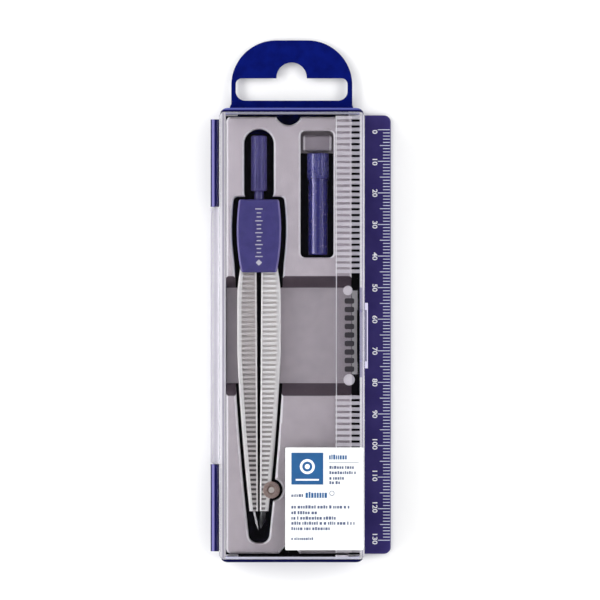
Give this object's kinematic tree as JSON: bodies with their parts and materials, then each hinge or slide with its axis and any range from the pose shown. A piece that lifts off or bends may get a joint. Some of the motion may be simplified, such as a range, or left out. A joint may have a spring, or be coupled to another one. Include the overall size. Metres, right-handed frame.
{
  "type": "drafting instrument case",
  "caption": "Flat hinged case with a clear lid, a millimetre ruler edge and a hang tab, holding a geared drawing compass and a lead tube.",
  "frame": {"origin": "middle of the underside of the closed set", "axes": "+Y towards the hang tab, +X towards the ruler edge, +Z out through the clear lid"},
  "size_m": [0.057, 0.1648, 0.015],
  "materials": {
    "case_blue": "gloss",
    "lid_clear": "gloss",
    "label_paper": "matte",
    "insert_grey": "matte",
    "hang_blue": "matte",
    "tube_blue": "gloss",
    "compass_blue": "satin",
    "leg_metal": "satin",
    "steel": "polished",
    "nickel": "satin",
    "graphite": "satin"
  },
  "bodies": {
    "case": {"base_tray": "case_blue", "insert_tray": "insert_grey"},
    "lid_body": {"lid": "lid_clear", "label": "label_paper"},
    "hanger": {"hang_tab": "hang_blue"},
    "compass_head": {"handle": "compass_blue", "yoke": "steel", "head_front_cover": "compass_blue", "head_rear_cover": "compass_blue", "pivot_pins": "steel", "friction_washers": "steel"},
    "needle_leg": {"leg_left": "leg_metal", "needle": "steel"},
    "lead_leg": {"leg_right": "leg_metal", "clamp_screw": "nickel"},
    "clamp_nut_body": {"clamp_nut": "nickel"},
    "lead_body": {"lead": "graphite"},
    "tube": {"lead_tube": "tube_blue", "spare_leads": "graphite"},
    "tube_cap": {"lead_tube_cap": "tube_blue"}
  },
  "joints": [
    {"name": "lid_hinge", "type": "hinge", "parent": "case", "child": "lid_body", "pos_m": [-0.027, 0, 0.0076], "axis": [0, -1, 0], "range_deg": [0, 180]},
    {"name": "hang_tab_slide", "type": "slide", "parent": "case", "child": "hanger", "axis": [0, 1, 0], "range_m": [0, 0.0075]},
    {"name": "compass_lift", "type": "slide", "parent": "case", "child": "compass_head", "axis": [0, 0, 1], "range_m": [0, 0.002]},
    {"name": "right_leg_hinge", "type": "hinge", "parent": "compass_head", "child": "lead_leg", "pos_m": [-0.0106, 0.017, 0.00675], "axis": [0, 0, 1], "range_deg": [0, 0.5]},
    {"name": "left_leg_hinge", "type": "hinge", "parent": "compass_head", "child": "needle_leg", "pos_m": [-0.0158, 0.017, 0.00675], "axis": [0, 0, 1], "range_deg": [-0.5, 0]},
    {"name": "clamp_nut_turn", "type": "hinge", "parent": "lead_leg", "child": "clamp_nut_body", "pos_m": [-0.00925, -0.0597, 0.01], "axis": [0, 0, 1], "range_deg": [0, 360]},
    {"name": "lead_feed", "type": "slide", "parent": "lead_leg", "child": "lead_body", "axis": [-0.1633, -0.9866, 0], "range_m": [0, 0.0005]},
    {"name": "tube_lift", "type": "slide", "parent": "case", "child": "tube", "axis": [0, 0, 1], "range_m": [0, 0.0045]},
    {"name": "tube_cap_turn", "type": "hinge", "parent": "tube", "child": "tube_cap", "pos_m": [0.0054, 0.042, 0.005], "axis": [0, 1, 0], "continuous": true}
  ],
  "couplings": [
    {"joint": "left_leg_hinge", "follows": "right_leg_hinge", "ratio": -1}
  ]
}
